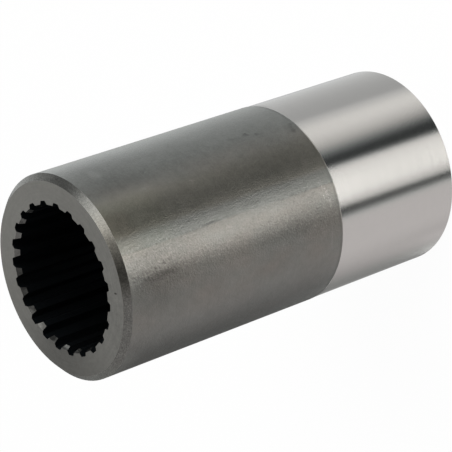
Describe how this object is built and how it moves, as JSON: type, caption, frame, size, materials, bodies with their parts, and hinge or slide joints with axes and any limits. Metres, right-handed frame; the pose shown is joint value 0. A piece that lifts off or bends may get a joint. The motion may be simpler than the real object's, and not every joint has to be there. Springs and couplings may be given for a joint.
{
  "type": "splined drive coupling",
  "caption": "One-piece steel coupling sleeve with a 23-tooth internal spline through its bore, a dark turned body and a bright ground journal, for joining two splined shafts.",
  "frame": {"origin": "centre of the face of the ground end, on the sleeve's axis", "axes": "+Z along the axis, from the ground end up to the chamfered end of the dark body; -Y through the middle of a spline space"},
  "size_m": [0.0508, 0.0508, 0.105],
  "materials": {
    "sleeve_steel": "dark heat-treated and fine-turned body, bright ground journal, matt sawn grey end face"
  },
  "bodies": {
    "root": {"coupling_sleeve": "sleeve_steel"}
  },
  "joints": []
}
